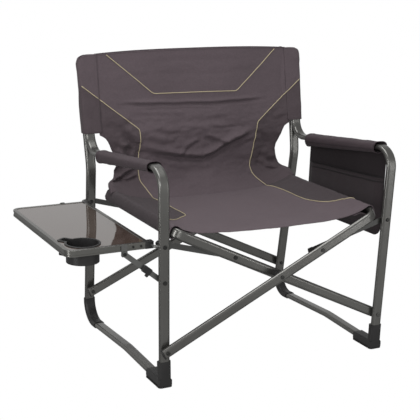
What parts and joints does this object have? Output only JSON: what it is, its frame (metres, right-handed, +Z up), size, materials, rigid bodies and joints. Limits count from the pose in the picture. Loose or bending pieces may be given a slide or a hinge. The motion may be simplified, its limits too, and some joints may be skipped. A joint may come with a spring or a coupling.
{
  "type": "folding chair",
  "caption": "Folding director chair with a sling seat and back, padded arms, a hinged side table with a cup holder, and a side pocket.",
  "frame": {"origin": "on the floor, under the centre of the whole object's box", "axes": "+X towards the sitter's left arm, the side table being on -X; +Y towards the back; +Z up"},
  "size_m": [1.0322, 0.6454, 0.8772],
  "materials": {
    "frame_tube": "satin gunmetal powder coat",
    "link_strip": "satin black paint",
    "rivet": "plain steel",
    "spacer": "black",
    "main_fabric": "woven polyester, grey-brown",
    "trim_fabric": "woven polyester, dark grey",
    "foot_rubber": "black",
    "table_trim": "anodised dark grey, satin",
    "table_panel": "gloss dark laminate",
    "bracket_steel": "satin black paint",
    "moulded_plastic": "fine moulded grain"
  },
  "bodies": {
    "side_frame_left": {"arm_tube_left": "frame_tube", "rear_leg_tube_left": "frame_tube", "post_rivets_left": "rivet", "pivot_rivets_left": "rivet", "front_foot_left": "moulded_plastic", "foot_sole_left": "foot_rubber", "heel_guard_left": "moulded_plastic", "post_cap_left": "moulded_plastic", "arm_pad_left": "trim_fabric", "table_hinge_rods": "bracket_steel", "link_spacers_left": "spacer", "brace_leg_pins": "rivet", "brace_spacer": "spacer", "sling_back": "main_fabric"},
    "side_frame_right": {"arm_tube_right": "frame_tube", "rear_leg_tube_right": "frame_tube", "post_rivets_right": "rivet", "pivot_rivets_right": "rivet", "front_foot_right": "moulded_plastic", "foot_sole_right": "foot_rubber", "heel_guard_right": "moulded_plastic", "post_cap_right": "moulded_plastic", "arm_pad_right": "trim_fabric", "side_pocket_outer": "trim_fabric", "side_pocket_inner": "trim_fabric", "side_pocket_edge": "trim_fabric"},
    "u_frame_1": {"seat_frame_left_pivot": "frame_tube", "bar_end_plugs_left_pivot": "moulded_plastic", "crossing_rivets": "rivet", "crossing_spacers": "spacer", "link_studs_left_pivot": "rivet", "sling_seat": "main_fabric"},
    "u_frame_2": {"seat_frame_right_pivot": "frame_tube", "bar_end_plugs_right_pivot": "moulded_plastic", "link_studs_right_pivot": "rivet"},
    "links_left": {"links_left": "link_strip", "link_end_caps_left": "moulded_plastic", "link_buttons_left": "rivet"},
    "links_right": {"links_right": "link_strip", "link_end_caps_right": "moulded_plastic", "link_buttons_right": "rivet"},
    "table": {"table_rim": "table_trim", "table_top": "table_panel", "table_hinge_blocks": "moulded_plastic", "cup_holder": "moulded_plastic", "table_rivets": "rivet", "brace_brackets": "bracket_steel", "bracket_pins": "rivet"},
    "brace_upper": {"brace_upper_bars": "bracket_steel"},
    "brace_lower": {"brace_lower_bars": "bracket_steel", "brace_locks": "moulded_plastic"}
  },
  "joints": [
    {"name": "fold", "type": "hinge", "parent": "side_frame_left", "child": "u_frame_1", "pos_m": [-0.23919, -0.0383, 0.11], "axis": [0, -1, 0], "range_deg": [0, 52.7], "deforming": ["sling_seat", "sling_back"]},
    {"name": "crossing", "type": "hinge", "parent": "u_frame_1", "child": "u_frame_2", "pos_m": [0.11992, -0.0383, 0.2836], "axis": [0, 1, 0], "range_deg": [0, 105.4]},
    {"name": "right_pivot", "type": "hinge", "parent": "u_frame_2", "child": "side_frame_right", "pos_m": [0.47903, -0.0383, 0.11], "axis": [0, -1, 0], "range_deg": [0, 52.7]},
    {"name": "left_links", "type": "hinge", "parent": "side_frame_left", "child": "links_left", "pos_m": [-0.24638, -0.0383, 0.413], "axis": [0, -1, 0], "range_deg": [0, 91.86]},
    {"name": "right_links", "type": "hinge", "parent": "side_frame_right", "child": "links_right", "pos_m": [0.48623, -0.0383, 0.413], "axis": [0, 1, 0], "range_deg": [0, 91.86]},
    {"name": "table_hinge", "type": "hinge", "parent": "side_frame_left", "child": "table", "pos_m": [-0.27408, -0.0348, 0.4165], "axis": [0, -1, 0], "range_deg": [0, 90]},
    {"name": "brace_leg", "type": "hinge", "parent": "side_frame_left", "child": "brace_lower", "pos_m": [-0.24394, -0.0348, 0.31], "axis": [0, -1, 0], "range_deg": [0, 66.2]},
    {"name": "brace_table", "type": "hinge", "parent": "table", "child": "brace_upper", "pos_m": [-0.35408, -0.0348, 0.4], "axis": [0, 1, 0], "range_deg": [0, 180.1]}
  ],
  "couplings": [
    {"joint": "crossing", "follows": "fold", "ratio": 2},
    {"joint": "right_pivot", "follows": "fold", "ratio": 1},
    {"joint": "left_links", "follows": "fold", "ratio": 1.743},
    {"joint": "right_links", "follows": "fold", "ratio": 1.743},
    {"joint": "brace_leg", "follows": "table_hinge", "ratio": 0.73556},
    {"joint": "brace_table", "follows": "table_hinge", "ratio": 2.0011}
  ]
}
